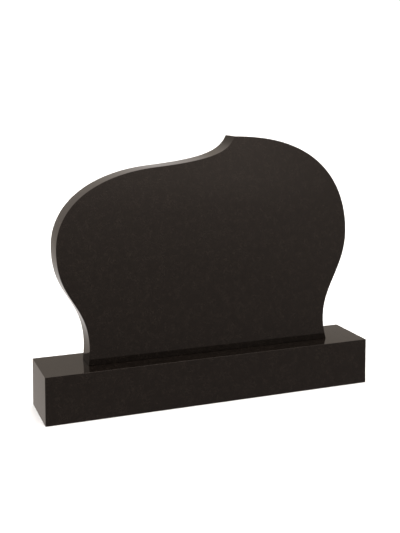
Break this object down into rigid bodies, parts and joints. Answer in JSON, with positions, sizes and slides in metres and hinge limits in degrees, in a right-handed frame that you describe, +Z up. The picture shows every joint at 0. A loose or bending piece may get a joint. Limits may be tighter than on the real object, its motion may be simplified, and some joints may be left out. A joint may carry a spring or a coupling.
{
  "type": "headstone",
  "caption": "Upright granite headstone slab with a free, swooping outline that rises to a peak right of centre, on a plain rectangular plinth.",
  "frame": {"origin": "middle of the plinth's underside", "axes": "+Z up, +X to the right along the plinth as seen from the front, -Y out of the slab's front face"},
  "size_m": [1.1, 0.2, 0.8503],
  "materials": {
    "black_granite": "mirror polished black granite (gabbro-diabase), sawn underside"
  },
  "bodies": {
    "root": {"plinth": "black_granite", "stele": "black_granite"}
  },
  "joints": []
}
